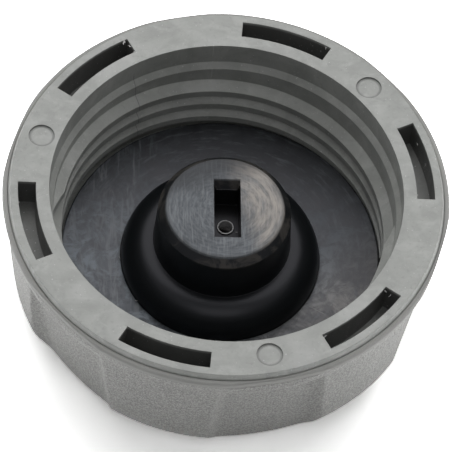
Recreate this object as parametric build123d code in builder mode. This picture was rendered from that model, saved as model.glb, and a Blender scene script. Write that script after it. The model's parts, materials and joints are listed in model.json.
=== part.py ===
from build123d import *
import os
from math import atan2, degrees, radians, sqrt, tan

# Vented fuel filler cap, lying on its closed face with the open end up.
# Millimetres. The origin is on the cap's axis, in the plane of the closed face.

# ---- Driving dimensions -------------------------------------------------
CAP_HEIGHT = 35.0          # closed face to the rim of the threaded body
CUT_THROUGH = 2 * CAP_HEIGHT  # long enough to pass right through any piece
LOBES = 6                  # grip lobes, with a finger flute between each two
LOBE_ANGLE = 11.8          # first lobe, measured from +X
FLUTE_ANGLE = LOBE_ANGLE + 180.0 / LOBES

# Grip cover
COVER_R = 46.75            # widest point, just below the lip
COVER_LOBE_R = 45.9        # lobe radius where the flutes begin
COVER_BASE_R = 43.2        # the same wall, carried down to the closed face
COVER_EDGE_R = 11.5        # rounding of the closed end
COVER_WALL = 1.6
LOBE_EXTRA_WALL = 0.5      # the wall is this much thicker at the lobes' upper ends
COVER_FLOOR = 2.4
LIP_DEPTH = 1.3            # lip of the cover below the rim
LIP_TOP_R = 46.4
SCALLOP_MID_R = 46.2       # radius of the lip over the middle of a flute
SCALLOP_R = 82.0           # radius of the flatter arc that the lip follows there
SCALLOP_LEAN = 4.0         # degrees
MOUTH_R = 45.65            # bore in which the flange sits
MOUTH_DEPTH = 3.0          # ledge below the rim that carries the flange
SOCKET_R = 44.35           # bore for the pocket boxes, below the ledge
SOCKET_DEPTH = 9.6
FLUTE_DEPTH_BELOW_RIM = 5.6
FLUTE_WIDTH = 25.2         # the most that a flute's flared sides reach
FLUTE_MID_R = 44.0         # surface radius in the middle of a flute, at its upper end
FLUTE_SWELL_R = 80.0       # radius of the floor, which swells outward between two grooves
FLUTE_FLOOR = 18.5         # width of that floor
FLUTE_FLARE = 30.0         # angle of a flute's sides to its floor, degrees
FLUTE_GROOVE_R = 4.0       # rounding between them
FLUTE_TILT = 8.4           # lean of the flutes, degrees
FLUTE_CORNER_R = 1.8
LOBE_ROUND = 0.8           # rounding where a flute's sides meet the lobes
FLUTE_REACH = 10.0         # how far a flute's cutter runs past the wall it cuts
RIB_THICK = 1.4            # ribs inside the closed end, which carry the body's end wall
RIB_IN_R = 23.0
RIB_OUT_R = 36.0
LIP_SIDE = 0.6             # height of the lip's leaning outer edge
LIP_ROUND = 0.5
LIP_EDGE_R = 0.15
WAIST_ROUND = 2.0          # rounding where the wall steepens at the flutes' upper ends

# Threaded body
FLANGE_R = 45.55
FLANGE_EDGE = 0.5          # width of the flange's leaning outer edge
FLANGE_EDGE_DROP = 1.2     # and its height
FLANGE_THICK = 3.0
LEAD_IN_R = 37.0
LEAD_IN_DEPTH = 5.7
THREAD_ROOT_R = 36.0
THREAD_CREST_R = 34.0
THREAD_LEAD = 9.3
THREAD_STARTS = 2
THREAD_TURNS = 1.5         # how far each ridge runs round the wall
THREAD_TOP = 8.65          # depth at which a ridge fades into the wall
THREAD_ANGLE = 180.0       # where the first ridge fades out, measured from +X
LEAD_IN_END = 7.15         # depth at which the lead-in chamfer meets the thread's root
TUBE_R = 38.5
TUBE_BASE_R = 37.7
TUBE_EDGE = 1.8
THREAD_CREST_DROP = 1.7    # height of the sloping upper flank
THREAD_CREST = 1.7
THREAD_UNDER = 0.5         # height of the steep lower flank
THREAD_FADE = 10.0         # angle over which a ridge rises from the wall
THREAD_BITE = 0.2          # how far a ridge is rooted in the wall
END_WALL_TOP = 27.6        # depth of the face that carries the gasket
END_WALL = 2.2
HUB_HOLE_R = 17.0
POCKET_IN_R = 39.75        # arc pockets in the flange
POCKET_OUT_R = 43.5
POCKET_HALF_ANGLE = 13.1
POCKET_DEPTH = 7.5
POCKET_WALL = 0.7
POCKET_FLOOR = 1.4
POCKET_WALL_ANGLE = 1.4    # both end walls of a pocket together, degrees
SNAP_DEPTH = 6.4           # beads on the pockets' walls that snap into a groove in the cover
SNAP_HEIGHT = 1.2
SNAP_BEAD = 0.3
SNAP_GROOVE = 0.4
MARK_R = 2.7               # ejector marks in the flange
MARK_DEPTH = 0.35
MARK_PITCH_R = 40.75
MARKS = 3

# Gasket
GASKET_R = 33.8
GASKET_HOLE_R = 21.25
GASKET_THICK = 2.4         # at the hub
GASKET_RIM = 3.5           # and at the outer edge
GASKET_EDGE = 0.3

# Vent housing
HUB_TOP = 6.55             # depth of the hub's flat top
HUB_TOP_R = 12.3
HUB_CHAMFER_R = 14.0
HUB_CHAMFER = 1.75
HUB_BASE_R = 14.55
SHOULDER_TOP = 18.45       # depth of the corner between the hub and its shoulder
BELL_R = 21.1
SHOULDER_END = 25.0        # depth at which the shoulder has turned upright
SLOT_LENGTH = 14.6         # pocket in the hub's top
SLOT_WIDTH = 5.6
SLOT_DEPTH = 7.6
SLOT_X = 0.5               # the pocket sits a little to one side
RAMP_LENGTH = 1.4          # sloping end of the pocket, on its +Y side
RAMP_DEPTH = 2.0
RAMP_INSET = 0.6           # how much narrower each side is at the ramp's foot
RAMP_FOOT = 0.1
VENT_R = 1.5
VENT_RIM = 0.3
SPIGOT_R = 16.8
SPIGOT_END = 32.0
SPIGOT_LEAD = 0.4
CHAMBER_TOP = 16.0
CHAMBER_R = 12.0
SPRING_ROOM_R = 13.6
SPRING_ROOM_TOP = 20.0
PLATE_BORE_R = 14.6
SEAT_IN_R = 5.0
SEAT_OUT_R = 6.2
SEAT_DEPTH = 18.5
O_RING_R = 18.4
O_RING_SECTION_R = 0.8
LOCK_RING_R = 21.5
LOCK_RING_THICK = 0.6
LOCK_TEETH = 12
LOCK_SLIT = 1.2
LOCK_SLIT_LENGTH = 2.6

# Valves
PRESSURE_SEAL = 1.0
PRESSURE_SEAL_IN_R = 4.4
PRESSURE_SEAL_OUT_R = 8.0
PRESSURE_DISC_R = 9.2
PRESSURE_DISC = 1.4
STEM_R = 1.1
STEM_HOLE_R = 1.2
STEM_END = 27.0
VACUUM_SEAL = 0.6
VACUUM_HEAD_R = 3.9
VACUUM_HEAD = 1.2
VACUUM_PORT_R = 0.45
VACUUM_PORT_PITCH_R = 2.6
VACUUM_PORTS = 4
KEEPER_TOP = 25.4
KEEPER_R = 2.9
KEEPER_THICK = 0.8
PLATE_TOP = 29.4
PLATE_THICK = 1.4
PLATE_R = 14.55
PLATE_PORT_R = 1.5
PLATE_PORTS = 6
PLATE_PORT_PITCH_R = 10.5
GUIDE_WALL = 0.8
GUIDE_HEIGHT = 1.6
FILTER_THICK = 0.6
RETAINER_IN_R = 12.6
RETAINER_THICK = 0.5
RETAINER_TEETH = 10
RETAINER_SLIT = 1.0
RETAINER_SLIT_LENGTH = 0.9
SPRING_WIRE_R = 0.35
SPRING_R = 7.2
SPRING_TURNS = 5
VACUUM_WIRE_R = 0.175
VACUUM_SPRING_R = 1.9
VACUUM_TURNS = 4
WIRE_SIDES = 6             # the wire's section is drawn with this many flats


def level(depth):
    """Height above the closed face of a point this far below the rim."""
    return CAP_HEIGHT - depth


def export(part, label):
    part.label = label
    export_step(part, f"parts/{label}.step")


os.makedirs("parts", exist_ok=True)


# ---- Grip cover ---------------------------------------------------------
def flute_section(inset):
    """Long prism with a flute's cross-section, the middle of its floor on the Z axis."""
    half = FLUTE_FLOOR / 2 + inset * tan(radians(FLUTE_FLARE / 2))
    edge = FLUTE_SWELL_R - sqrt(FLUTE_SWELL_R**2 - half**2)
    mouth = edge - FLUTE_REACH * tan(radians(FLUTE_FLARE))
    with BuildPart() as section:
        with BuildSketch() as outline:
            with BuildLine():
                floor = ThreePointArc((-half, edge), (0, 0), (half, edge))
                Polyline(
                    floor @ 1,
                    (half + FLUTE_REACH, mouth),
                    (-half - FLUTE_REACH, mouth),
                    floor @ 0,
                )
            make_face()
            fillet(outline.vertices().group_by(Axis.Y)[-1], FLUTE_GROOVE_R + inset)
        extrude(amount=CUT_THROUGH, both=True)
    return section.part


def flute_cutter(inset):
    """Solid that scoops the flute facing -Y, its surface moved inward by inset."""
    middle_r = FLUTE_MID_R - inset
    top = level(FLUTE_DEPTH_BELOW_RIM) + inset
    half = FLUTE_WIDTH / 2 + inset
    section = flute_section(inset)
    with BuildPart() as cutter:
        with BuildSketch(Plane.XZ.offset(middle_r - FLUTE_REACH)):
            with BuildLine():
                FilletPolyline(
                    (-half, -FLUTE_REACH),
                    (-half, top),
                    (half, top),
                    (half, -FLUTE_REACH),
                    radius=FLUTE_CORNER_R,
                )
                Line((half, -FLUTE_REACH), (-half, -FLUTE_REACH))
            make_face()
        extrude(amount=2 * FLUTE_REACH)
        with Locations(Location((0, -middle_r, top), (FLUTE_TILT, 0, 0))):
            add(section, mode=Mode.INTERSECT)
    return cutter.part


def scallop_cutter():
    """What lies outside the flatter stretch of lip that faces -Y."""
    with BuildPart() as cutter:
        with Locations(Location((0, -SCALLOP_MID_R, level(LIP_DEPTH)), (SCALLOP_LEAN, 0, 0))):
            Box(FLUTE_WIDTH, 2 * FLUTE_REACH, 2 * FLUTE_DEPTH_BELOW_RIM)
            with Locations((0, SCALLOP_R, 0)):
                Cylinder(SCALLOP_R, CUT_THROUGH, mode=Mode.SUBTRACT)
    return cutter.part


outer_flute = flute_cutter(0)
scallop = scallop_cutter()
inner_flute = flute_cutter(COVER_WALL)
flute_places = PolarLocations(0, LOBES, start_angle=FLUTE_ANGLE + 90)
lip = level(LIP_DEPTH)
flute_top = level(FLUTE_DEPTH_BELOW_RIM)
inner_base_r = COVER_BASE_R - COVER_WALL
inner_lobe_r = COVER_LOBE_R - COVER_WALL - LOBE_EXTRA_WALL

with BuildPart() as cavity:
    with BuildSketch(Plane.XZ):
        with BuildLine():
            inside = FilletPolyline(
                (0, COVER_FLOOR),
                (inner_base_r, COVER_FLOOR),
                (inner_lobe_r, level(SOCKET_DEPTH)),
                radius=COVER_EDGE_R - COVER_WALL,
            )
            Polyline(
                inside @ 1,
                (SOCKET_R, level(SOCKET_DEPTH)),
                (SOCKET_R, level(SNAP_DEPTH) - SNAP_HEIGHT),
                (SOCKET_R + SNAP_GROOVE, level(SNAP_DEPTH) - SNAP_HEIGHT / 2),
                (SOCKET_R + SNAP_GROOVE, level(SNAP_DEPTH) + SNAP_HEIGHT / 2),
                (SOCKET_R, level(SNAP_DEPTH) + SNAP_HEIGHT),
                (SOCKET_R, level(MOUTH_DEPTH)),
                (MOUTH_R, level(MOUTH_DEPTH)),
                (MOUTH_R, CAP_HEIGHT),
                (0, CAP_HEIGHT),
                inside @ 0,
            )
        make_face()
    revolve(axis=Axis.Z)
    with flute_places:
        add(inner_flute, mode=Mode.SUBTRACT)

with BuildPart() as grip_cover:
    with BuildSketch(Plane.XZ):
        with BuildLine():
            outside = FilletPolyline(
                (0, 0),
                (COVER_BASE_R, 0),
                (COVER_LOBE_R, flute_top),
                (COVER_R, lip - LIP_SIDE),
                (LIP_TOP_R, lip),
                (MOUTH_R, lip),
                radius=(COVER_EDGE_R, WAIST_ROUND, LIP_ROUND, LIP_EDGE_R),
            )
            Polyline(outside @ 1, (0, lip), outside @ 0)
        make_face()
    revolve(axis=Axis.Z)
    with flute_places:
        add(outer_flute, mode=Mode.SUBTRACT)
        add(scallop, mode=Mode.SUBTRACT)
    flute_sides = grip_cover.edges().filter_by(GeomType.ELLIPSE)
    fillet(flute_sides.filter_by(lambda edge: edge.length > CAP_HEIGHT / 2), LOBE_ROUND)
    add(cavity.part, mode=Mode.SUBTRACT)
    with BuildSketch(Plane.XY.offset(COVER_FLOOR)):
        with PolarLocations((RIB_IN_R + RIB_OUT_R) / 2, LOBES, start_angle=FLUTE_ANGLE):
            Rectangle(RIB_OUT_R - RIB_IN_R, RIB_THICK)
    extrude(amount=level(END_WALL_TOP + END_WALL) - COVER_FLOOR)
export(grip_cover.part, "grip_cover")


# ---- Threaded body ------------------------------------------------------
end_wall_bottom = level(END_WALL_TOP + END_WALL)
pocket_places = PolarLocations(0, LOBES, start_angle=LOBE_ANGLE)


def arc_block(r_in, r_out, low, high, arc, taper=0.0):
    """Ring segment centred on +X between two depths, its outer face narrowed by taper."""
    with BuildPart() as block:
        with BuildSketch(Plane.XZ):
            with BuildLine():
                Polyline(
                    (r_in, level(low)),
                    (r_out, level(low) + taper),
                    (r_out, level(high) - taper),
                    (r_in, level(high)),
                    close=True,
                )
            make_face()
        revolve(axis=Axis.Z, revolution_arc=arc)
    return block.part.rotate(Axis.Z, -arc / 2)


pocket_box = arc_block(
    TUBE_R - POCKET_WALL,
    POCKET_OUT_R + POCKET_WALL,
    POCKET_DEPTH + POCKET_FLOOR,
    FLANGE_THICK,
    2 * POCKET_HALF_ANGLE + POCKET_WALL_ANGLE,
)
pocket_hollow = arc_block(
    POCKET_IN_R,
    POCKET_OUT_R,
    POCKET_DEPTH,
    0,
    2 * POCKET_HALF_ANGLE,
)
snap_bead = arc_block(
    POCKET_OUT_R + POCKET_WALL / 2,
    POCKET_OUT_R + POCKET_WALL + SNAP_BEAD,
    SNAP_DEPTH + SNAP_HEIGHT / 2,
    SNAP_DEPTH - SNAP_HEIGHT / 2,
    2 * POCKET_HALF_ANGLE,
    taper=SNAP_BEAD,
)


def thread_ridge():
    """One start of the thread, from its foot beside the gasket to where it fades into the wall."""
    depth = THREAD_ROOT_R - THREAD_CREST_R
    ridge_height = THREAD_CREST_DROP + THREAD_CREST + THREAD_UNDER
    fade_rise = THREAD_LEAD * THREAD_FADE / 360
    fade_slant = sqrt(fade_rise**2 + (depth + THREAD_BITE) ** 2)
    fade_cone = degrees(atan2(depth + THREAD_BITE, fade_rise))
    run_turn = 360 * THREAD_TURNS - THREAD_FADE
    run_rise = THREAD_LEAD * run_turn / 360
    run = Helix(THREAD_LEAD, run_rise, THREAD_ROOT_R)
    fade = Helix(fade_slant * 360 / THREAD_FADE, fade_rise, THREAD_ROOT_R, cone_angle=fade_cone)
    fade = Pos(0, 0, run_rise) * Rot(0, 0, run_turn) * fade
    with BuildPart() as ridge:
        for path, heading in ((run, run % 0), (fade, run % 1)):
            inward = Vector(-(path @ 0).X, -(path @ 0).Y, 0)
            with BuildSketch(Plane(path @ 0, x_dir=inward, z_dir=heading)):
                with BuildLine():
                    Polyline(
                        (-THREAD_BITE, THREAD_BITE),
                        (depth, -THREAD_CREST_DROP),
                        (depth, -THREAD_CREST_DROP - THREAD_CREST),
                        (-THREAD_BITE, -ridge_height),
                        close=True,
                    )
                make_face()
            sweep(path=path, is_frenet=True)
    foot_depth = THREAD_TOP + THREAD_LEAD * THREAD_TURNS
    foot_angle = THREAD_ANGLE - 360 * THREAD_TURNS
    return Pos(0, 0, level(foot_depth)) * Rot(0, 0, foot_angle) * ridge.part


ridge = thread_ridge()

with BuildPart() as threaded_body:
    with BuildSketch(Plane.XZ):
        with BuildLine():
            Polyline(
                (HUB_HOLE_R, end_wall_bottom),
                (TUBE_BASE_R - TUBE_EDGE, end_wall_bottom),
                (TUBE_BASE_R, end_wall_bottom + TUBE_EDGE),
                (TUBE_R, level(FLANGE_THICK)),
                (FLANGE_R, level(FLANGE_THICK)),
                (FLANGE_R, level(FLANGE_EDGE_DROP)),
                (FLANGE_R - FLANGE_EDGE, CAP_HEIGHT),
                (LEAD_IN_R, CAP_HEIGHT),
                (LEAD_IN_R, level(LEAD_IN_DEPTH)),
                (THREAD_ROOT_R, level(LEAD_IN_END)),
                (THREAD_ROOT_R, level(END_WALL_TOP)),
                (HUB_HOLE_R, level(END_WALL_TOP)),
                close=True,
            )
        make_face()
    revolve(axis=Axis.Z)
    with pocket_places:
        add(pocket_box)
        add(snap_bead)
        add(pocket_hollow, mode=Mode.SUBTRACT)
    with PolarLocations(0, THREAD_STARTS):
        add(ridge)
    with BuildSketch(Plane.XY.offset(CAP_HEIGHT)):
        with PolarLocations(MARK_PITCH_R, MARKS, start_angle=FLUTE_ANGLE):
            Circle(MARK_R)
    extrude(amount=-MARK_DEPTH, mode=Mode.SUBTRACT)
export(threaded_body.part, "threaded_body")


# ---- Gasket -------------------------------------------------------------
with BuildPart() as sealing_gasket:
    with BuildSketch(Plane.XZ):
        with BuildLine():
            Polyline(
                (GASKET_HOLE_R, level(END_WALL_TOP)),
                (GASKET_R, level(END_WALL_TOP)),
                (GASKET_R, level(END_WALL_TOP - GASKET_RIM)),
                (GASKET_HOLE_R, level(END_WALL_TOP - GASKET_THICK)),
                close=True,
            )
        make_face()
    revolve(axis=Axis.Z)
    fillet(sealing_gasket.edges().group_by(Axis.Z)[-1], GASKET_EDGE)
export(sealing_gasket.part, "sealing_gasket")


# ---- Vent housing -------------------------------------------------------
ramp_foot = SLOT_LENGTH / 2 - RAMP_LENGTH

with BuildPart() as vent_housing:
    with BuildSketch(Plane.XZ):
        with BuildLine():
            Polyline(
                (SEAT_IN_R, level(CHAMBER_TOP)),
                (0, level(CHAMBER_TOP)),
                (0, level(HUB_TOP)),
                (HUB_TOP_R, level(HUB_TOP)),
                (HUB_CHAMFER_R, level(HUB_TOP + HUB_CHAMFER)),
                (HUB_BASE_R, level(SHOULDER_TOP)),
            )
            EllipticalCenterArc(
                (HUB_BASE_R, level(SHOULDER_END)),
                BELL_R - HUB_BASE_R,
                SHOULDER_END - SHOULDER_TOP,
                start_angle=0,
                arc_size=90,
            )
            Polyline(
                (BELL_R, level(SHOULDER_END)),
                (BELL_R, level(END_WALL_TOP)),
                (O_RING_R + O_RING_SECTION_R, level(END_WALL_TOP)),
                (O_RING_R + O_RING_SECTION_R, level(END_WALL_TOP - 2 * O_RING_SECTION_R)),
                (O_RING_R - O_RING_SECTION_R, level(END_WALL_TOP - 2 * O_RING_SECTION_R)),
                (O_RING_R - O_RING_SECTION_R, level(END_WALL_TOP)),
                (SPIGOT_R, level(END_WALL_TOP)),
                (SPIGOT_R, level(SPIGOT_END - SPIGOT_LEAD)),
                (SPIGOT_R - SPIGOT_LEAD, level(SPIGOT_END)),
                (PLATE_BORE_R, level(SPIGOT_END)),
                (PLATE_BORE_R, level(PLATE_TOP)),
                (SPRING_ROOM_R, level(PLATE_TOP)),
                (SPRING_ROOM_R, level(SPRING_ROOM_TOP)),
                (CHAMBER_R, level(SPRING_ROOM_TOP)),
                (CHAMBER_R, level(CHAMBER_TOP)),
                (SEAT_OUT_R, level(CHAMBER_TOP)),
                (SEAT_OUT_R, level(SEAT_DEPTH)),
                (SEAT_IN_R, level(SEAT_DEPTH)),
                (SEAT_IN_R, level(CHAMBER_TOP)),
            )
        make_face()
    revolve(axis=Axis.Z)
    with BuildSketch(Plane.XY.offset(level(HUB_TOP))):
        with Locations((SLOT_X, -RAMP_LENGTH / 2)):
            Rectangle(SLOT_WIDTH, SLOT_LENGTH - RAMP_LENGTH)
    extrude(amount=-SLOT_DEPTH, mode=Mode.SUBTRACT)
    with BuildSketch(Plane.XY.offset(level(HUB_TOP))):
        with Locations((SLOT_X, ramp_foot)):
            Rectangle(SLOT_WIDTH, RAMP_LENGTH, align=(Align.CENTER, Align.MIN))
    with BuildSketch(Plane.XY.offset(level(HUB_TOP + RAMP_DEPTH))):
        with Locations((SLOT_X, ramp_foot)):
            Rectangle(SLOT_WIDTH - 2 * RAMP_INSET, RAMP_FOOT, align=(Align.CENTER, Align.MIN))
    loft(mode=Mode.SUBTRACT)
    with BuildSketch(Plane.XY.offset(level(HUB_TOP + SLOT_DEPTH))):
        with Locations((SLOT_X, 0)):
            Circle(VENT_R + VENT_RIM)
    extrude(amount=VENT_RIM)
    with Locations((SLOT_X, 0, level(CHAMBER_TOP))):
        Cylinder(VENT_R, SLOT_DEPTH, mode=Mode.SUBTRACT)
export(vent_housing.part, "vent_housing")

with BuildPart() as housing_o_ring:
    with BuildSketch(Plane.XZ):
        with Locations((O_RING_R, level(END_WALL_TOP - O_RING_SECTION_R))):
            Circle(O_RING_SECTION_R)
    revolve(axis=Axis.Z)
export(housing_o_ring.part, "housing_o_ring")

with BuildPart() as housing_lock_ring:
    with BuildSketch(Plane.XY.offset(end_wall_bottom)):
        Circle(LOCK_RING_R)
        Circle(SPIGOT_R, mode=Mode.SUBTRACT)
        with PolarLocations(SPIGOT_R, LOCK_TEETH):
            Rectangle(2 * LOCK_SLIT_LENGTH, LOCK_SLIT, mode=Mode.SUBTRACT)
    extrude(amount=-LOCK_RING_THICK)
export(housing_lock_ring.part, "housing_lock_ring")


# ---- Valve plate and filter ---------------------------------------------
with BuildPart() as valve_plate:
    with BuildSketch(Plane.XY.offset(level(PLATE_TOP))):
        Circle(PLATE_R)
        with PolarLocations(PLATE_PORT_PITCH_R, PLATE_PORTS):
            Circle(PLATE_PORT_R, mode=Mode.SUBTRACT)
    extrude(amount=-PLATE_THICK)
    with BuildSketch(Plane.XY.offset(level(PLATE_TOP))):
        Circle(SPRING_R - 2 * SPRING_WIRE_R)
        Circle(SPRING_R - 2 * SPRING_WIRE_R - GUIDE_WALL, mode=Mode.SUBTRACT)
    extrude(amount=GUIDE_HEIGHT)
export(valve_plate.part, "valve_plate")

with BuildPart() as dust_filter:
    with BuildSketch(Plane.XY.offset(level(PLATE_TOP + PLATE_THICK))):
        Circle(PLATE_R)
    extrude(amount=-FILTER_THICK)
export(dust_filter.part, "dust_filter")

with BuildPart() as filter_retaining_ring:
    with BuildSketch(Plane.XY.offset(level(PLATE_TOP + PLATE_THICK + FILTER_THICK))):
        Circle(PLATE_R)
        Circle(RETAINER_IN_R, mode=Mode.SUBTRACT)
        with PolarLocations(PLATE_R, RETAINER_TEETH):
            Rectangle(2 * RETAINER_SLIT_LENGTH, RETAINER_SLIT, mode=Mode.SUBTRACT)
    extrude(amount=-RETAINER_THICK)
export(filter_retaining_ring.part, "filter_retaining_ring")


# ---- Valves -------------------------------------------------------------
disc_top = SEAT_DEPTH + PRESSURE_SEAL
disc_bottom = disc_top + PRESSURE_DISC

with BuildPart() as pressure_valve_seal:
    with BuildSketch(Plane.XY.offset(level(SEAT_DEPTH))):
        Circle(PRESSURE_SEAL_OUT_R)
        Circle(PRESSURE_SEAL_IN_R, mode=Mode.SUBTRACT)
    extrude(amount=-PRESSURE_SEAL)
export(pressure_valve_seal.part, "pressure_valve_seal")

with BuildPart() as pressure_valve_disc:
    with BuildSketch(Plane.XZ):
        with BuildLine():
            Polyline(
                (0, level(disc_top)),
                (PRESSURE_SEAL_OUT_R, level(disc_top)),
                (PRESSURE_SEAL_OUT_R, level(SEAT_DEPTH)),
                (PRESSURE_DISC_R, level(SEAT_DEPTH)),
                (PRESSURE_DISC_R, level(disc_bottom)),
                (0, level(disc_bottom)),
                close=True,
            )
        make_face()
    revolve(axis=Axis.Z)
    with Locations((0, 0, level(disc_top))):
        Cylinder(STEM_HOLE_R, CUT_THROUGH, mode=Mode.SUBTRACT)
        with PolarLocations(VACUUM_PORT_PITCH_R, VACUUM_PORTS):
            Cylinder(VACUUM_PORT_R, CUT_THROUGH, mode=Mode.SUBTRACT)
export(pressure_valve_disc.part, "pressure_valve_disc")

with BuildPart() as vacuum_valve_seal:
    with BuildSketch(Plane.XY.offset(level(disc_top))):
        Circle(VACUUM_HEAD_R)
        Circle(STEM_R, mode=Mode.SUBTRACT)
    extrude(amount=VACUUM_SEAL)
export(vacuum_valve_seal.part, "vacuum_valve_seal")

with BuildPart() as vacuum_valve_stem:
    with BuildSketch(Plane.XY.offset(level(STEM_END))):
        Circle(STEM_R)
    extrude(amount=STEM_END - disc_top + VACUUM_SEAL)
    with BuildSketch(Plane.XY.offset(level(disc_top - VACUUM_SEAL))):
        Circle(VACUUM_HEAD_R)
    extrude(amount=VACUUM_HEAD)
export(vacuum_valve_stem.part, "vacuum_valve_stem")

with BuildPart() as vacuum_spring_keeper:
    with BuildSketch(Plane.XY.offset(level(KEEPER_TOP))):
        Circle(KEEPER_R)
        Circle(STEM_R, mode=Mode.SUBTRACT)
    extrude(amount=-KEEPER_THICK)
export(vacuum_spring_keeper.part, "vacuum_spring_keeper")


def coil(radius, wire_r, turns, top, bottom):
    """Compression spring whose wire lies between two depths."""
    rise = bottom - top - 2 * wire_r
    path = Helix(rise / turns, rise, radius)
    path = Pos(0, 0, level(bottom) + wire_r) * path
    with BuildPart() as spring:
        with BuildSketch(Plane(path @ 0, z_dir=path % 0)):
            RegularPolygon(wire_r, WIRE_SIDES)
        sweep(path=path, is_frenet=True)
    return spring.part


pressure_spring = coil(SPRING_R, SPRING_WIRE_R, SPRING_TURNS, disc_bottom, PLATE_TOP)
export(pressure_spring, "pressure_spring")
vacuum_spring = coil(VACUUM_SPRING_R, VACUUM_WIRE_R, VACUUM_TURNS, disc_bottom, KEEPER_TOP)
export(vacuum_spring, "vacuum_spring")
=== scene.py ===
import json
import math
import random

import bmesh
import bpy
from mathutils import Euler, Matrix, Vector


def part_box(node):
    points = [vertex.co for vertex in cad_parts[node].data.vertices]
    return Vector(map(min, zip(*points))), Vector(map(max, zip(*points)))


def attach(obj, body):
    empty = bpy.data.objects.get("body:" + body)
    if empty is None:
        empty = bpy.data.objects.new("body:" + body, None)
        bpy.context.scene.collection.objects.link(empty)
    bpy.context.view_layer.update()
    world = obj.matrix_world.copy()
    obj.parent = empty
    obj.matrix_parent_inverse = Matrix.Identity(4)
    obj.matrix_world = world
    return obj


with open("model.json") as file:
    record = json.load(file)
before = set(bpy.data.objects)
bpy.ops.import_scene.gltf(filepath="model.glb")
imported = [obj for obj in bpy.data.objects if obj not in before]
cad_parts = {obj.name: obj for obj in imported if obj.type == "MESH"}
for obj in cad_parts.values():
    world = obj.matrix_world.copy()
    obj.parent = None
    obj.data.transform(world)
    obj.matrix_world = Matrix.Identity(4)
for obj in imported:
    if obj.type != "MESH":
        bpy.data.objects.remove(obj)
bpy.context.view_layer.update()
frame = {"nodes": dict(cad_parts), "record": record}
nodes = frame["nodes"]
random.seed(11)

MM = 0.001
RIM_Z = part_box("threaded_body")[1][2]
RIM = RIM_Z / MM                                  # heights in millimetres, as the textures measure
HUB_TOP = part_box("vent_housing")[1][2] / MM
SHARP_ANGLE = math.radians(28)                    # faces that meet at more than this keep an edge

# ---- Features that the materials follow, in millimetres and degrees --------
LIP_BAND = 2.6             # smooth lip above the cover's grain, from the rim down
LIP_FADE = 0.6             # over this much height the grain comes in
BORE_R = 37.3              # the wall is inside this radius, the flange's top outside
POCKET_MID_R = 41.6        # middle of the flange's arc pockets
MARKS = 3                  # ejector marks in the flange: how many, where, and their size
MARK_ANGLE = 41.8
MARK_PITCH_R = 40.75
MARK_R = 2.7
SLOT_X = 0.5               # the hub's pocket, and the vent hole in its floor
SLOT_REACH = (2.95, 7.45)
SLOT_DARK = 2.1            # below this depth the pocket is painted dark, as shade
VENT_R = 1.5
WELD_ANGLE = 121.45        # dark weld line down the threaded wall
WELD_R = 36
WELD_TOP = 3.2             # how far below the rim it begins
WITNESS_ANGLE = 93.8       # light witness line on the wall's upper part
WITNESS_R = 37
CRACK_ANGLE = -32.3        # fine crack in the gasket
CRACK_R = 24

# ---- Casts of the plastics and the rubber: how far a grey leans, see grey() --
COVER_TINT = (0.0165, 0.0165)
BODY_TINT = (0.01, 0.035)
BODY_PALE_TINT = (0.01, 0.03)
BLUISH = (0.92, 0.92, 1.0, 1.0)    # shine of bloomed rubber and plastic

# ---- Camera ----------------------------------------------------------------
CAMERA_ELEVATION = math.radians(55.99)
CAMERA_AZIMUTH = math.radians(5.66)
CAMERA_ROLL = math.radians(6.12)
CAMERA_DISTANCE = 0.940
CAMERA_LENS = 359.7        # millimetres, for the sensor below
CAMERA_SENSOR = 36
CAMERA_NEAR = 0.01
AIM_RIGHT = -0.00022       # the rim's centre sits a little off the picture's centre
AIM_UP = -0.00786

# ---- Light -----------------------------------------------------------------
# Name, direction from the cap, distance, width and height, radiance. Lengths are in metres.
LAMPS = (
    ("overhead", (0.05, 0.62, 1.0), 1.2, (1.7, 1.3), 1.88),
    ("right", (1.0, 0.0, 0.13), 1.1, (0.9, 0.42), 1.7),
    ("left", (-1.0, 0.0, 0.13), 1.1, (0.9, 0.42), 1.7),
    ("brow", (0.0, -0.55, 1.0), 1.5, (0.9, 0.6), 1.15),
)
# Panels that lie on the ground and face up, unseen by the camera: name, place, radiance.
PANELS = (
    ("table_left", (-0.56, 0.0), 0.85),
    ("table_right", (0.52, -0.22), 0.75),
)
PANEL_SIZE = (0.9, 1.4)
PANEL_LIFT = 0.0004        # how far they lie above the ground
AMBIENT = 0.10             # the world's light, apart from what is seen of it
WHITE = 1.0                # the world as it is seen
FLOOR_SIZE = 8
FLOOR_LIT = 0.92           # the ground's paleness, as it lights the cap
FLOOR_SEEN = 3.0           # as it is seen: white, but for the shadow

# ---- Flash, burrs and nicks --------------------------------------------------
RIM_CLEAR = 0.00002        # torn scraps end this far below the rim, in metres
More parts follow.
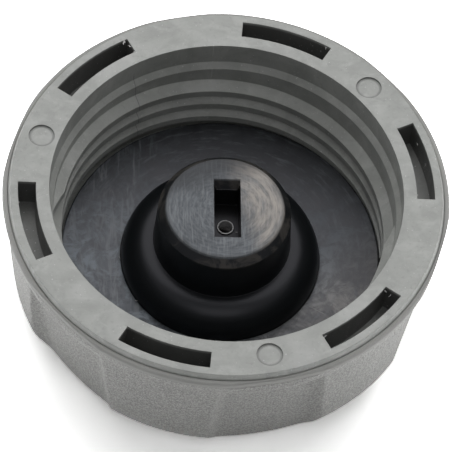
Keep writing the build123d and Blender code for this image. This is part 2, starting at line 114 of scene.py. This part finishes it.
# Name, radius from the axis, angle in degrees, depth below the rim, length: lengths in millimetres.
SCRAPS = (
    ("pocket_flash_1", 43.1, 120.0, 0.0, 1.3),
    ("pocket_flash_2", 41.6, 119.2, 0.0, 0.9),
    ("pocket_flash_3", 40.0, 118.7, 0.0, 1.0),
    ("pocket_flash_4", 43.0, 60.0, 0.1, 0.7),
    ("pocket_flash_5", 41.0, 58.1, 0.1, 0.8),
    ("pocket_burr_1", 43.2, 20.3, 3.0, 0.8),
    ("pocket_burr_2", 43.2, 13.1, 3.0, 0.8),
    ("pocket_nick_1", 39.8, 0.1, 0.1, 0.6),
    ("pocket_nick_2", 40.2, -36.2, 0.4, 1.0),
    ("pocket_nick_3", 41.6, -36.7, 0.4, 0.8),
    ("pocket_nick_4", 40.2, -60.6, 0.5, 1.1),
    ("pocket_nick_5", 43.4, -174.7, 0.4, 0.6),
    ("pocket_nick_6", 40.0, -121.1, 0.4, 0.6),
    ("wall_fleck_1", 35.0, -26.2, 8.0, 0.9),
    ("wall_fleck_2", 36.8, 87.5, 3.0, 0.35),
    ("gasket_nick_1", 21.4, -176.8, 24.9, 0.7),
    ("gasket_nick_2", 21.4, -146.3, 24.9, 0.7),
    ("slot_speck", 3.1, -24.4, 13.8, 0.5),
)
FLAKE_SECTIONS = 5         # a flake's cross-sections, and the corners of each
FLAKE_CORNERS = 5
FLAKE_SWELL = 0.16         # a flake's half width, sideways wander and flatness, for a length of 1
FLAKE_WANDER = 0.12
FLAKE_FLAT = 0.6


def camera():
    """The photographer's view: a long lens, looking down into the open end."""
    forward = Vector((
        math.sin(CAMERA_AZIMUTH) * math.cos(CAMERA_ELEVATION),
        math.cos(CAMERA_AZIMUTH) * math.cos(CAMERA_ELEVATION),
        -math.sin(CAMERA_ELEVATION),
    ))
    level_right = Vector((math.cos(CAMERA_AZIMUTH), -math.sin(CAMERA_AZIMUTH), 0))
    level_up = level_right.cross(forward)
    right = level_right * math.cos(CAMERA_ROLL) + level_up * math.sin(CAMERA_ROLL)
    up = level_up * math.cos(CAMERA_ROLL) - level_right * math.sin(CAMERA_ROLL)
    aim = (forward + AIM_RIGHT * right + AIM_UP * up).normalized()
    right = aim.cross(up).normalized()
    up = right.cross(aim)
    data = bpy.data.cameras.new("camera")
    data.lens = CAMERA_LENS
    data.sensor_width = CAMERA_SENSOR
    data.clip_start = CAMERA_NEAR
    made = bpy.data.objects.new("camera", data)
    place = Vector((0, 0, RIM_Z)) - forward * CAMERA_DISTANCE
    turn = Matrix((right, up, -aim)).transposed().to_4x4()
    made.matrix_world = Matrix.Translation(place) @ turn
    bpy.context.scene.collection.objects.link(made)
    bpy.context.scene.camera = made


# ---- Shader building ---------------------------------------------------------
def grey(value, warm=0.0, green=0.0):
    """A grey, in linear light, leaning to red or blue by warm and to green by green."""
    return (value * (1 + warm - green), value, value * (1 - warm - green), 1.0)


class Shading:
    """One procedural material. Lengths in its textures are in millimetres."""

    def __init__(self, name):
        self.material = bpy.data.materials.new(name)
        self.material.use_nodes = True
        self.tree = self.material.node_tree
        self.bsdf = self.tree.nodes["Principled BSDF"]
        place = self.node("TexCoord").outputs["Object"]
        self.place = self.vector("SCALE", place, 1 / MM)

    def node(self, kind, **settings):
        made = self.tree.nodes.new("ShaderNode" + kind)
        for key, value in settings.items():
            setattr(made, key, value)
        return made

    def feed(self, socket, value):
        if isinstance(value, bpy.types.NodeSocket):
            self.tree.links.new(value, socket)
        else:
            socket.default_value = value

    def math(self, operation, a, b=0.0):
        made = self.node("Math", operation=operation)
        self.feed(made.inputs[0], a)
        self.feed(made.inputs[1], b)
        return made.outputs[0]

    def both(self, first, *others):
        """The product of two or more masks."""
        for other in others:
            first = self.math("MULTIPLY", first, other)
        return first

    def vector(self, operation, a, b):
        made = self.node("VectorMath", operation=operation)
        self.feed(made.inputs[0], a)
        self.feed(made.inputs["Scale"] if operation == "SCALE" else made.inputs[1], b)
        return made.outputs[0]

    def noise(self, scale, detail=3.0, roughness=0.5, stretch=None, place=None, distortion=0.0):
        """Cloudy noise from 0 to 1; scale is in lumps per millimetre."""
        where = self.place if place is None else place
        if stretch:
            where = self.vector("MULTIPLY", where, stretch)
        made = self.node("TexNoise")
        self.feed(made.inputs["Vector"], where)
        self.feed(made.inputs["Scale"], scale)
        self.feed(made.inputs["Detail"], detail)
        self.feed(made.inputs["Roughness"], roughness)
        self.feed(made.inputs["Distortion"], distortion)
        return made.outputs["Fac"]

    def cells(self, scale):
        """Distance to the nearest of scattered points; scale is in points per millimetre."""
        made = self.node("TexVoronoi")
        self.feed(made.inputs["Vector"], self.place)
        self.feed(made.inputs["Scale"], scale)
        return made.outputs["Distance"]

    def ramp(self, value, low, high, out_low=0.0, out_high=1.0):
        """Soft step from out_low at low to out_high at high; low may be the larger of the two."""
        made = self.node("MapRange", clamp=True, interpolation_type="SMOOTHSTEP")
        for key, number in (("Value", value), ("From Min", low), ("From Max", high),
                            ("To Min", out_low), ("To Max", out_high)):
            self.feed(made.inputs[key], number)
        return made.outputs["Result"]

    def mix(self, factor, a, b):
        made = self.node("Mix", data_type="RGBA")
        self.feed(made.inputs[0], factor)
        self.feed(made.inputs[6], a)
        self.feed(made.inputs[7], b)
        return made.outputs[2]

    def split(self, vector):
        made = self.node("SeparateXYZ")
        self.feed(made.inputs[0], vector)
        return made.outputs

    def join(self, x, y, z):
        made = self.node("CombineXYZ")
        for socket, value in zip(made.inputs, (x, y, z)):
            self.feed(socket, value)
        return made.outputs[0]

    def distance(self, spot=(0.0, 0.0)):
        """Millimetres from an upright line through spot, an (x, y) pair in millimetres."""
        x, y, _ = self.split(self.place)
        dx = self.math("SUBTRACT", x, spot[0])
        dy = self.math("SUBTRACT", y, spot[1])
        squares = self.math("ADD", self.math("MULTIPLY", dx, dx), self.math("MULTIPLY", dy, dy))
        return self.math("SQRT", squares)

    def polar(self):
        """(radius, angle, height) about the cap's axis, in millimetres and radians."""
        x, y, z = self.split(self.place)
        return self.distance(), self.math("ARCTAN2", y, x), z

    def line_at(self, angle, place, half_width, radius):
        """1 on an upright line at place, in degrees, fading over its half width at that radius."""
        away = self.math("ABSOLUTE", self.math("SUBTRACT", angle, math.radians(place)))
        return self.ramp(self.math("MULTIPLY", away, radius), half_width, half_width * 0.35)

    def edges(self, width):
        """(1 on edges and 0 on faces, a mask the materials use to paint highlights on edges; the rounded
        normal); width in millimetres.
        """
        bevel = self.node("Bevel", samples=4)
        self.feed(bevel.inputs["Radius"], width * MM)
        flat = self.node("NewGeometry").outputs["Normal"]
        made = self.node("VectorMath", operation="DOT_PRODUCT")
        self.feed(made.inputs[0], bevel.outputs[0])
        self.feed(made.inputs[1], flat)
        return self.ramp(made.outputs["Value"], 0.995, 0.80), bevel.outputs[0]

    def bump(self, layers, base=None):
        """Stacks (height, depth in millimetres) layers of relief."""
        normal = base
        for height, depth in layers:
            made = self.node("Bump")
            self.feed(made.inputs["Strength"], 1.0)
            self.feed(made.inputs["Distance"], depth * MM)
            self.feed(made.inputs["Height"], height)
            if normal is not None:
                self.feed(made.inputs["Normal"], normal)
            normal = made.outputs[0]
        return normal

    def finish(self, color, roughness, normal, **fixed):
        self.feed(self.bsdf.inputs["Base Color"], color)
        self.feed(self.bsdf.inputs["Roughness"], roughness)
        self.feed(self.bsdf.inputs["Normal"], normal)
        for key, value in fixed.items():
            self.bsdf.inputs[key.replace("_", " ")].default_value = value
        return self.material


def backdrop_rays(tree):
    """1 for the rays that show the backdrop: the camera's own, and those by way of gloss or glass."""
    path = tree.nodes.new("ShaderNodeLightPath").outputs
    seen = path["Is Camera Ray"]
    for kind in ("Is Glossy Ray", "Is Transmission Ray"):
        either = tree.nodes.new("ShaderNodeMath")
        either.operation = "MAXIMUM"
        tree.links.new(seen, either.inputs[0])
        tree.links.new(path[kind], either.inputs[1])
        seen = either.outputs[0]
    return seen


# ---- The cover ---------------------------------------------------------------
def cover_plastic():
    """Grey moulding with a spark-eroded grain below its smooth lip, and a painted highlight along the
    flutes' edges.
    """
    s = Shading("cover_plastic")
    height = s.polar()[2]
    cloud = s.noise(0.07, 4)
    speck = s.noise(1.5, 3, 0.65)
    fine = s.noise(3.0, 2, 0.5)
    pits = s.cells(1.25)
    edge, normal = s.edges(1.1)
    textured = s.ramp(height, RIM - LIP_BAND, RIM - LIP_BAND - LIP_FADE)
    color = s.mix(s.ramp(cloud, 0.3, 0.7), grey(0.315, *COVER_TINT), grey(0.365, *COVER_TINT))
    dark = s.both(s.ramp(fine, 0.49, 0.38), textured, 0.65)
    color = s.mix(dark, color, grey(0.20, *COVER_TINT))
    light = s.both(s.ramp(fine, 0.51, 0.62), textured, 0.6)
    color = s.mix(light, color, grey(0.56, *COVER_TINT))
    # Painted highlight: edges are mixed toward a paler grey.
    color = s.mix(s.both(edge, 0.55), color, grey(0.52, *COVER_TINT))
    rub = s.noise(0.5, 5, 0.6, stretch=(1, 1, 0.2))
    color = s.mix(s.ramp(rub, 0.62, 0.8, 0, 0.35), color, grey(0.46, *COVER_TINT))
    grain = s.both(s.math("ADD", speck, s.both(pits, 0.5)), textured)
    normal = s.bump(((grain, 0.30), (fine, 0.03)), normal)
    roughness = s.ramp(cloud, 0.2, 0.8, 0.50, 0.60)
    return s.finish(color, roughness, normal, Specular_IOR_Level=0.4)


# ---- The threaded body -------------------------------------------------------
def flow_marks(s, streak, edge):
    """The body's grey: clouds, streaks and smears of the melt, dark blots, and pale edges that are a
    painted highlight.
    """
    cloud = s.noise(0.13, 5, 0.6, distortion=0.9)
    smear = s.noise(0.06, 3, 0.5)
    blot = s.noise(1.2, 4)
    color = s.mix(s.ramp(cloud, 0.3, 0.7), grey(0.325, *BODY_TINT), grey(0.400, *BODY_TINT))
    color = s.mix(s.ramp(streak, 0.45, 0.75, 0, 0.5), color, grey(0.50, *BODY_PALE_TINT))
    color = s.mix(s.ramp(smear, 0.52, 0.68, 0, 0.3), color, grey(0.52, 0.0, 0.01))
    color = s.mix(s.ramp(blot, 0.56, 0.72, 0, 0.35), color, grey(0.25, *BODY_PALE_TINT))
    # Painted highlight: edges are mixed toward a paler grey.
    return s.mix(s.both(edge, 0.45), color, grey(0.52, *BODY_PALE_TINT))


def pocket_shade(s, color, radius, depth):
    """Painted shade in the flange's pockets, deepest on their walls."""
    inner = s.ramp(radius, POCKET_MID_R - 2.6, POCKET_MID_R - 2.2)
    outer = s.ramp(radius, POCKET_MID_R + 2.4, POCKET_MID_R + 2.1)
    pocket = s.both(inner, outer, s.ramp(depth, 0.25, 1.1))
    color = s.mix(s.both(pocket, 0.50), color, grey(0.06, 0.02))
    level = s.math("ABSOLUTE", s.split(s.node("NewGeometry").outputs["Normal"])[2])
    # Painted shade: the steep pocket walls are darkened further.
    wall = s.both(pocket, s.ramp(level, 0.6, 0.2))
    return s.mix(s.both(wall, 0.6), color, grey(0.05, 0.02))


def mould_lines(s, color, radius, angle, height, depth):
    """The dark weld line and the light witness line down the wall."""
    sway = s.noise(0.25, 3, place=s.join(0, 0, height))
    wander = s.math("ADD", angle, s.both(sway, 0.005))
    weld = s.both(s.line_at(wander, WELD_ANGLE, 0.13, WELD_R), s.ramp(depth, WELD_TOP, WELD_TOP + 0.8))
    color = s.mix(s.both(weld, 0.6), color, grey(0.10))
    above_thread = s.ramp(depth, 4.0, 3.6)
    on_thread = s.both(s.ramp(depth, 6.8, 7.2), s.ramp(depth, 10.2, 9.8))
    reach = s.math("MAXIMUM", above_thread, on_thread)
    on_wall = s.ramp(radius, BORE_R + 0.1, BORE_R - 0.1)
    witness = s.both(s.line_at(angle, WITNESS_ANGLE, 0.14, WITNESS_R), reach, on_wall)
    return s.mix(s.both(witness, 0.5), color, grey(0.62))


def mark_rings(s, color, depth):
    """A dark line round the inside of each ejector mark's edge."""
    for mark in range(MARKS):
        turn = math.radians(MARK_ANGLE + 360 / MARKS * mark)
        away = s.distance((MARK_PITCH_R * math.cos(turn), MARK_PITCH_R * math.sin(turn)))
        inside = s.ramp(away, MARK_R - 0.75, MARK_R - 0.25)
        outside = s.ramp(away, MARK_R + 0.12, MARK_R - 0.05)
        ring = s.both(inside, outside, s.ramp(depth, 0.8, 0.5))
        color = s.mix(s.both(ring, 0.55), color, grey(0.09, *BODY_PALE_TINT))
    return color


def body_plastic():
    """Smooth grey moulding: flow marks, weld lines, fine scratches, painted highlights on its edges, and
    painted shade in its pockets.
    """
    s = Shading("body_plastic")
    radius, angle, height = s.polar()
    depth = s.math("SUBTRACT", RIM, height)
    streak = s.noise(0.35, 5, 0.6, stretch=(0.7, 1.0, 0.5), distortion=0.6)
    edge, normal = s.edges(0.18)
    color = flow_marks(s, streak, edge)
    scratch = s.noise(1.3, 1, stretch=(0.08, 2.5, 0.3), distortion=0.3)
    fine = s.ramp(s.math("ABSOLUTE", s.math("SUBTRACT", scratch, 0.5)), 0.012, 0.0)
    color = s.mix(s.both(fine, 0.12), color, grey(0.5))
    # Painted shade in the flange's pockets.
    color = pocket_shade(s, color, radius, depth)
    color = mould_lines(s, color, radius, angle, height, depth)
    speck = s.ramp(s.noise(2.2, 1, 0.4), 0.735, 0.76)
    color = s.mix(s.both(speck, 0.7), color, grey(0.66))
    color = mark_rings(s, color, depth)
    normal = s.bump(((fine, -0.004), (streak, 0.02), (s.noise(3.5, 3), 0.008)), normal)
    roughness = s.ramp(streak, 0.3, 0.8, 0.42, 0.30)
    return s.finish(color, roughness, normal, Specular_IOR_Level=0.5)


def torn_plastic():
    """The body's plastic where it is torn and stretched pale."""
    s = Shading("torn_plastic")
    torn = s.noise(3.0, 4, 0.7)
    color = s.mix(s.ramp(torn, 0.35, 0.7), grey(0.34, 0.01), grey(0.62, 0.01))
    normal = s.bump(((torn, 0.06),))
    return s.finish(color, s.ramp(torn, 0.2, 0.8, 0.4, 0.6), normal)


# ---- The gasket --------------------------------------------------------------
def gasket_rubber():
    """Black rubber under a bluish bloom that is wiped in rings and streaks, browner on one side. Painted
    sheen makes the bloom stronger toward the front and in streaks on the left, painted shade weakens it
    toward the back and the back right, and its edges carry a painted highlight.
    """
    s = Shading("gasket_rubber")
    radius, angle, _ = s.polar()
    x, y, _ = s.split(s.place)
    rings = s.noise(0.9, 5, 0.65, place=s.join(radius, s.both(angle, 5.0), 0.0))
    cloud = s.noise(0.15, 6, 0.65, distortion=0.9)
    wipe = s.noise(0.34, 6, 0.68, distortion=0.9)
    streaks = s.noise(0.55, 4, 0.6, stretch=(1.5, 0.22, 1.0), distortion=0.5)
    # Real bloom times painted light: stronger toward the front (painted sheen), weaker toward the back
    # and back right (painted shade).
    bloom = s.both(
        s.ramp(cloud, 0.40, 0.58, 0.35, 1.0),
        s.ramp(wipe, 0.38, 0.60, 0.35, 1.0),
        s.ramp(y, 24.0, 2.0, 0.15, 1.0),
        s.ramp(s.math("ADD", x, y), 14.0, 28.0, 1.0, 0.45),
    )
    brown = s.ramp(s.math("SUBTRACT", x, y), 16.0, 40.0)
    tone = s.mix(brown, grey(0.240, -0.12), grey(0.265, 0.05))
    color = s.mix(s.both(bloom, 0.8), grey(0.007, -0.10), tone)
    color = s.mix(s.ramp(rings, 0.50, 0.70, 0, 0.5), color, grey(0.120, -0.08))
    # Painted sheen: lighter streaks on the left side only.
    left = s.both(s.ramp(streaks, 0.50, 0.68), s.ramp(x, -10.0, -22.0, 0.0, 0.7))
    color = s.mix(left, color, grey(0.17, -0.06))
    color = s.mix(s.ramp(s.noise(1.6, 3, 0.7), 0.70, 0.78, 0, 0.5), color, grey(0.10))
    wander = s.math("ADD", angle, s.both(wipe, 0.02))
    reach = s.both(s.ramp(radius, 21.8, 22.6), s.ramp(radius, 26.6, 25.6))
    crack = s.both(s.line_at(wander, CRACK_ANGLE, 0.13, CRACK_R), reach)
    color = s.mix(crack, color, grey(0.17, 0.03))
    edge, normal = s.edges(0.15)
    # Painted highlight on the edges.
    color = s.mix(s.both(edge, 0.25), color, grey(0.10))
    normal = s.bump(((rings, 0.010), (s.noise(4, 3), 0.010)), normal)
    roughness = s.ramp(s.math("ADD", wipe, cloud), 0.75, 1.25, 0.32, 0.46)
    return s.finish(color, roughness, normal, Specular_IOR_Level=0.36, Specular_Tint=BLUISH)


# ---- The hub -----------------------------------------------------------------
def hub_top_bloom_and_light(s, radius, rings, broad, brushed, cloud):
    """The hub's flat top: brushed grey bloom, brown wear with a painted highlight on its right, painted
    shade at its back, and dark at its rim.
    """
    x, y, _ = s.split(s.place)
    rubbed = s.both(s.ramp(rings, 0.30, 0.70, 0.35, 1.0), s.ramp(cloud, 0.25, 0.7, 0.45, 1.0))
    bloom = s.mix(rubbed, grey(0.05, -0.10), grey(0.20, -0.08))
    bloom = s.mix(s.ramp(brushed, 0.48, 0.66, 0, 0.6), bloom, grey(0.26, -0.05))
    # Brown wear on the right side that is also a painted highlight where the light falls.
    lit_worn_side = s.ramp(s.math("ADD", x, s.both(y, 0.30)), 1.5, 8.0)
    worn = s.both(lit_worn_side, s.ramp(broad, 0.30, 0.65, 0.25, 0.9), s.ramp(rings, 0.2, 0.6, 0.5, 1.0))
    bloom = s.mix(worn, bloom, (0.47, 0.43, 0.39, 1))
    # Painted shade toward the back.
    shade = s.ramp(s.math("SUBTRACT", y, s.both(x, 0.3)), 4.0, 11.0, 0.0, 0.75)
    bloom = s.mix(shade, bloom, grey(0.03, -0.05))
    return s.mix(s.ramp(radius, 11.6, 12.2, 0.0, 0.35), bloom, grey(0.03))


def slot_dark(s, color, height):
    """The pocket in the hub: painted shade inside, with a painted highlight in a ring round its vent
    hole.
    """
    x, y, _ = s.split(s.place)
    across = s.math("ABSOLUTE", s.math("SUBTRACT", x, SLOT_X))
    along = s.math("ABSOLUTE", y)
    sunk = s.both(
        s.ramp(across, SLOT_REACH[0], SLOT_REACH[0] - 0.1),
        s.ramp(along, SLOT_REACH[1], SLOT_REACH[1] - 0.1),
        s.ramp(height, HUB_TOP - SLOT_DARK, HUB_TOP - SLOT_DARK - 0.5),
    )
    # Painted shade deep in the pocket.
    color = s.mix(sunk, color, grey(0.003))
    vent = s.distance((SLOT_X, 0.0))
    # Painted highlight on the vent hole's rim.
    rim = s.both(s.ramp(vent, VENT_R - 0.1, VENT_R), s.ramp(vent, VENT_R + 0.28, VENT_R + 0.18))
    return s.mix(s.both(rim, sunk), color, grey(0.42))


def hub_plastic():
    """Black moulding: a worn, bloomed flat top over a wall that is clean and dark, with painted
    highlights on its edges and chamfer and painted shade in its pocket.
    """
    s = Shading("hub_plastic")
    radius, angle, height = s.polar()
    top = s.ramp(height, HUB_TOP - 0.45, HUB_TOP - 0.1)
    ring_place = s.join(radius, s.both(angle, 2.0), 0.0)
    rings = s.noise(2.2, 4, 0.6, place=ring_place)
    broad = s.noise(0.8, 3, 0.6, place=ring_place)
    brushed = s.noise(1.3, 4, 0.65, stretch=(1.6, 0.16, 1.0), distortion=0.3)
    cloud = s.noise(0.16, 5, 0.65, distortion=0.7)
    color = s.mix(top, grey(0.006, -0.15), hub_top_bloom_and_light(s, radius, rings, broad, brushed, cloud))
    edge, normal = s.edges(0.2)
    # Painted highlight on the edges, strongest on the top.
    color = s.mix(s.both(edge, s.ramp(top, 0, 1, 0.12, 0.55)), color, grey(0.17, 0.03))
    side = s.math("SUBTRACT", 1.0, top)
    # Brownish rub on the chamfer that is also its painted highlight.
    chamfer = s.both(s.ramp(height, HUB_TOP - 2.4, HUB_TOP - 1.7), side)
    rub = s.both(chamfer, s.ramp(cloud, 0.46, 0.60, 0, 0.7))
    color = s.mix(rub, color, grey(0.060, 0.10))
    color = slot_dark(s, color, height)
    normal = s.bump(((rings, 0.008), (brushed, 0.006), (s.noise(5, 3), 0.008)), normal)
    roughness = s.mix(top, grey(0.30), s.ramp(rings, 0.2, 0.8, 0.38, 0.50))
    return s.finish(color, roughness, normal, Specular_IOR_Level=0.20, Specular_Tint=BLUISH)


# ---- Inside the vent ---------------------------------------------------------
def seal_rubber():
    """Black rubber with a faint bloom."""
    s = Shading("seal_rubber")
    bloom = s.ramp(s.noise(0.9, 5), 0.35, 0.75)
    color = s.mix(bloom, grey(0.012), grey(0.045))
    normal = s.bump(((s.noise(5, 3), 0.01),))
    return s.finish(color, s.ramp(bloom, 0, 1, 0.4, 0.6), normal)


def spring_steel():
    """Drawn wire and sheet, with fine marks."""
    s = Shading("spring_steel")
    drawn = s.noise(3.0, 4, stretch=(0.3, 0.3, 3))
    color = s.mix(s.ramp(drawn, 0.3, 0.7), grey(0.42), grey(0.62, 0.02))
    normal = s.bump(((drawn, 0.01),))
    return s.finish(color, s.ramp(drawn, 0.2, 0.8, 0.22, 0.38), normal, Metallic=1.0)


def valve_plastic():
    """Natural acetal, with painted highlights on its edges and painted shade under the vent hole."""
    s = Shading("valve_plastic")
    cloud = s.noise(0.5, 4)
    color = s.mix(s.ramp(cloud, 0.3, 0.7), grey(0.62, 0.02), grey(0.72, 0.02))
    edge, normal = s.edges(0.1)
    # Painted highlight on the edges.
    color = s.mix(s.both(edge, 0.4), color, grey(0.85))
    # Painted shade under the vent hole, darkest at the axis.
    vent_shade = s.ramp(s.math("ADD", s.distance(), s.noise(0.8, 4)), 3.4, 2.2)
    color = s.mix(vent_shade, color, grey(0.02, 0.05))
    normal = s.bump(((s.noise(4, 3), 0.008),), normal)
    return s.finish(color, s.ramp(cloud, 0.2, 0.8, 0.35, 0.5), normal)


def filter_foam():
    """Open-cell foam, with painted shade in its pores."""
    s = Shading("filter_foam")
    pores = s.cells(2.2)
    # Painted shade in the pores.
    color = s.mix(s.ramp(pores, 0.1, 0.5), grey(0.20), grey(0.03))
    normal = s.bump(((pores, 0.3),))
    return s.finish(color, s.ramp(pores, 0, 0.6, 0.8, 0.95), normal)


MATERIALS = {
    "cover_plastic": cover_plastic(),
    "body_plastic": body_plastic(),
    "gasket_rubber": gasket_rubber(),
    "hub_plastic": hub_plastic(),
    "seal_rubber": seal_rubber(),
    "spring_steel": spring_steel(),
    "valve_plastic": valve_plastic(),
    "filter_foam": filter_foam(),
}


def dress():
    """Gives every CAD node the material of its slot, shaded smooth between its sharp edges."""
    for entry in frame["record"]["subparts"]:
        node = nodes[entry["node"]]
        node.data.materials.clear()
        node.data.materials.append(MATERIALS[entry["material_slot"]])
        smooth(node)


def smooth(obj):
    """Round faces shade as round, and anything over SHARP_ANGLE stays an edge."""
    bpy.context.view_layer.objects.active = obj
    for other in bpy.context.selected_objects:
        other.select_set(False)
    obj.select_set(True)
    bpy.ops.object.shade_smooth_by_angle(angle=SHARP_ANGLE)


# ---- Flash, burrs and nicks --------------------------------------------------
def flake(name, material):
    """A torn sliver of length 1: a strip of crooked cross-sections, thick in the middle."""
    mesh = bmesh.new()
    rings = []
    for step in range(FLAKE_SECTIONS):
        along = step / (FLAKE_SECTIONS - 1)
        swell = FLAKE_SWELL * math.sin(math.pi * (0.12 + 0.76 * along))
        aside = random.uniform(-FLAKE_WANDER, FLAKE_WANDER)
        shift = Vector((aside, random.uniform(-FLAKE_WANDER, FLAKE_WANDER), 0))
        ring = []
        for corner in range(FLAKE_CORNERS):
            turn = math.tau * corner / FLAKE_CORNERS
            reach = swell * random.uniform(0.6, 1.4)
            flat = FLAKE_FLAT * reach * math.sin(turn)
            ring.append(mesh.verts.new(shift + Vector((reach * math.cos(turn), flat, along - 0.5))))
        rings.append(ring)
    for low, high in zip(rings, rings[1:]):
        for corner in range(FLAKE_CORNERS):
            after = (corner + 1) % FLAKE_CORNERS
            mesh.faces.new((low[corner], low[after], high[after], high[corner]))
    mesh.faces.new(list(reversed(rings[0])))
    mesh.faces.new(rings[-1])
    data = bpy.data.meshes.new(name)
    mesh.to_mesh(data)
    mesh.free()
    data.materials.append(material)
    made = bpy.data.objects.new(name, data)
    bpy.context.scene.collection.objects.link(made)
    return made


def scraps():
    """Bits of flash and torn edges, left where the mould halves and the assembly tool bit."""
    material = torn_plastic()
    for name, radius, angle, depth, length in SCRAPS:
        made = flake(name, material)
        turn = math.radians(angle)
        place = Vector((radius * math.cos(turn), radius * math.sin(turn), RIM - depth)) * MM
        lean = Euler([random.uniform(0, math.tau) for _ in range(3)]).to_matrix().to_4x4()
        made.data.transform(Matrix.Translation(place) @ lean @ Matrix.Scale(length * MM, 4))
        for vertex in made.data.vertices:
            vertex.co.z = min(vertex.co.z, RIM_Z - RIM_CLEAR)
        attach(made, "cap")


# ---- Set ---------------------------------------------------------------------
def floor():
    """Pale ground that photographs as white but keeps the cap's shadow."""
    bpy.ops.mesh.primitive_plane_add(size=FLOOR_SIZE, location=(0, 0, 0))
    made = bpy.context.object
    made.name = "floor"
    s = Shading("floor")
    color = s.mix(backdrop_rays(s.tree), grey(FLOOR_LIT), grey(FLOOR_SEEN))
    s.feed(s.bsdf.inputs["Base Color"], color)
    s.bsdf.inputs["Roughness"].default_value = 1.0
    s.bsdf.inputs["Specular IOR Level"].default_value = 0.0
    made.data.materials.append(s.material)


def softbox(name, direction, distance, size, radiance):
    """A panel of light that faces the cap; at a radiance of 1 it is as bright as white."""
    data = bpy.data.lights.new(name, "AREA")
    data.shape = "RECTANGLE"
    data.size, data.size_y = size
    data.energy = radiance * math.pi * size[0] * size[1]
    made = bpy.data.objects.new(name, data)
    made.location = Vector(direction).normalized() * distance
    made.rotation_euler = (-Vector(direction)).to_track_quat("-Z", "Y").to_euler()
    bpy.context.scene.collection.objects.link(made)
    return made


def lights():
    """Soft light from above and behind and from both sides, and a glow from the ground."""
    for name, direction, distance, size, radiance in LAMPS:
        softbox(name, direction, distance, size, radiance)
    for name, place, radiance in PANELS:
        panel = softbox(name, (0, 0, -1), PANEL_LIFT, PANEL_SIZE, radiance)
        panel.location = (*place, PANEL_LIFT)
        panel.visible_camera = False


def surroundings():
    """A world that gives a little even light and is seen as white."""
    world = bpy.data.worlds.new("world")
    bpy.context.scene.world = world
    world.use_nodes = True
    tree = world.node_tree
    dim = tree.nodes["Background"]
    dim.inputs["Color"].default_value = (1, 1, 1, 1)
    dim.inputs["Strength"].default_value = AMBIENT
    white = tree.nodes.new("ShaderNodeBackground")
    white.inputs["Strength"].default_value = WHITE
    choose = tree.nodes.new("ShaderNodeMixShader")
    tree.links.new(backdrop_rays(tree), choose.inputs[0])
    tree.links.new(dim.outputs[0], choose.inputs[1])
    tree.links.new(white.outputs[0], choose.inputs[2])
    tree.links.new(choose.outputs[0], tree.nodes["World Output"].inputs[0])


bpy.context.scene.view_settings.view_transform = "Standard"
camera()
dress()
scraps()
floor()
lights()
surroundings()
